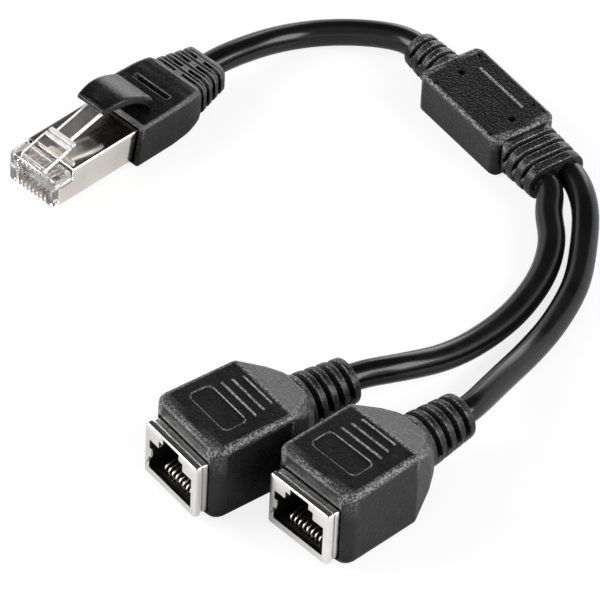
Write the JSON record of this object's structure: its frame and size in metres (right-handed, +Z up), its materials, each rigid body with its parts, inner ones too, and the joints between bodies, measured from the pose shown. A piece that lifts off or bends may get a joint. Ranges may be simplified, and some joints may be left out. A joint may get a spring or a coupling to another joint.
{
  "type": "network splitter lead",
  "caption": "Y-shaped network splitter lead: hooded shielded plug, moulded splitter block and shielded sockets on short round cables.",
  "frame": {"origin": "under the middle of the splitter block, on the surface that the lead lies on", "axes": "+Z up from the surface; the sockets open towards -Y and the splitter block runs along X, turned by 2.5 degrees"},
  "size_m": [0.118, 0.1116, 0.0163],
  "materials": {
    "black_moulding": "fine-grained charcoal black PVC moulding",
    "black_insert": "black socket moulding",
    "black_cable": "smooth glossy black cable sheath",
    "nickel": "bright plated sheet metal",
    "clear_plastic": "clear polycarbonate",
    "gold": "gold-plated contact metal",
    "board_green": "green circuit board",
    "white_orange": "wire insulation",
    "orange": "wire insulation",
    "white_green": "wire insulation",
    "blue": "wire insulation",
    "white_blue": "wire insulation",
    "green": "wire insulation",
    "white_brown": "wire insulation",
    "brown": "wire insulation"
  },
  "bodies": {
    "root": {"plug_boot": "black_moulding", "plug_shield": "nickel", "plug_body": "clear_plastic", "plug_load_bar": "clear_plastic", "plug_contact_1": "gold", "plug_contact_2": "gold", "plug_contact_3": "gold", "plug_contact_4": "gold", "plug_contact_5": "gold", "plug_contact_6": "gold", "plug_contact_7": "gold", "plug_contact_8": "gold", "plug_wire_1": "white_orange", "plug_wire_2": "orange", "plug_wire_3": "white_green", "plug_wire_4": "blue", "plug_wire_5": "white_blue", "plug_wire_6": "green", "plug_wire_7": "white_brown", "plug_wire_8": "brown", "splitter_block": "black_moulding", "splice_board": "board_green", "jack_1_housing": "black_moulding", "jack_1_shield": "nickel", "jack_1_insert": "black_insert", "jack_1_board": "board_green", "jack_1_contact_1": "gold", "jack_1_contact_2": "gold", "jack_1_contact_3": "gold", "jack_1_contact_4": "gold", "jack_1_contact_5": "gold", "jack_1_contact_6": "gold", "jack_1_contact_7": "gold", "jack_1_contact_8": "gold", "jack_2_housing": "black_moulding", "jack_2_shield": "nickel", "jack_2_insert": "black_insert", "jack_2_board": "board_green", "jack_2_contact_1": "gold", "jack_2_contact_2": "gold", "jack_2_contact_3": "gold", "jack_2_contact_4": "gold", "jack_2_contact_5": "gold", "jack_2_contact_6": "gold", "jack_2_contact_7": "gold", "jack_2_contact_8": "gold", "feed_cable": "black_cable", "branch_cable_1": "black_cable", "branch_cable_2": "black_cable"}
  },
  "joints": []
}
